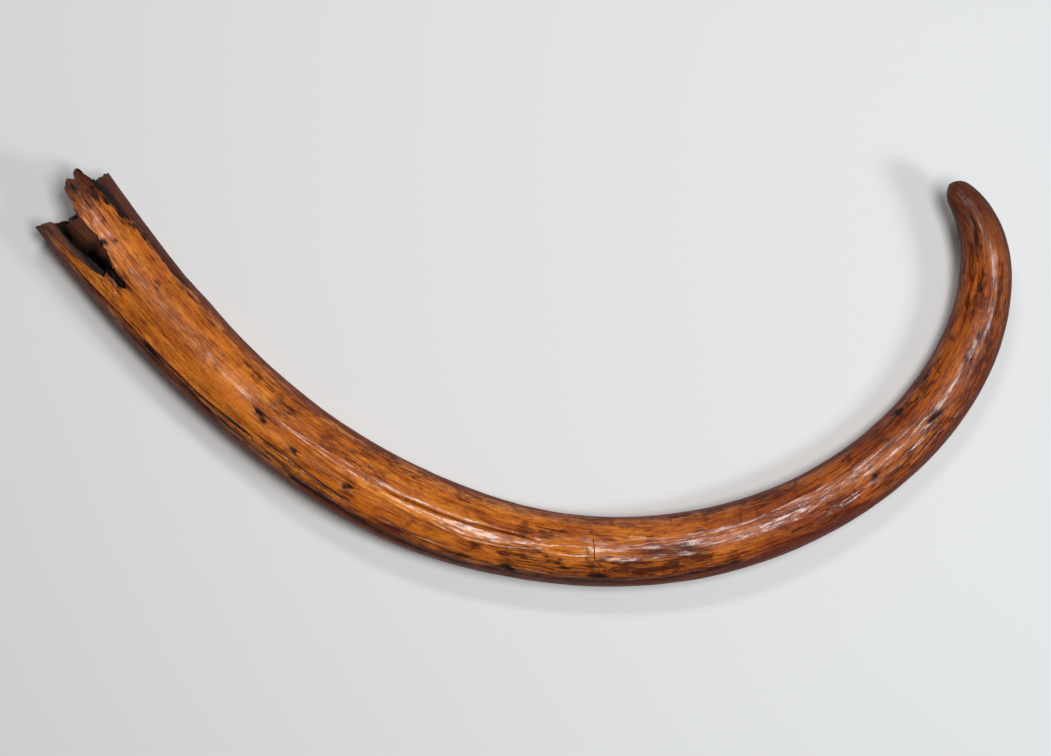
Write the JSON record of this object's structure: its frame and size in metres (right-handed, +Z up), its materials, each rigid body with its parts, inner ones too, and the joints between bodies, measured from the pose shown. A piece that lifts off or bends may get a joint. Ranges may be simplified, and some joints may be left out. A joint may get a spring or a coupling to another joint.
{
  "type": "mammoth tusk",
  "caption": "Polished amber-brown mammoth tusk lying on its side, bowed to a hooked tip, with a broken root end open to the pulp hollow.",
  "frame": {"origin": "under the middle of the tusk's box, on the surface that it lies on", "axes": "+X along the longest extent of the bow, from the root end towards the tip; +Y towards the open side of the bow; +Z up"},
  "size_m": [0.9738, 0.4156, 0.0875],
  "materials": {
    "ivory": "polished, amber-brown with dark mineral stains, broken ivory at the root end"
  },
  "bodies": {
    "root": {"tusk": "ivory"}
  },
  "joints": []
}
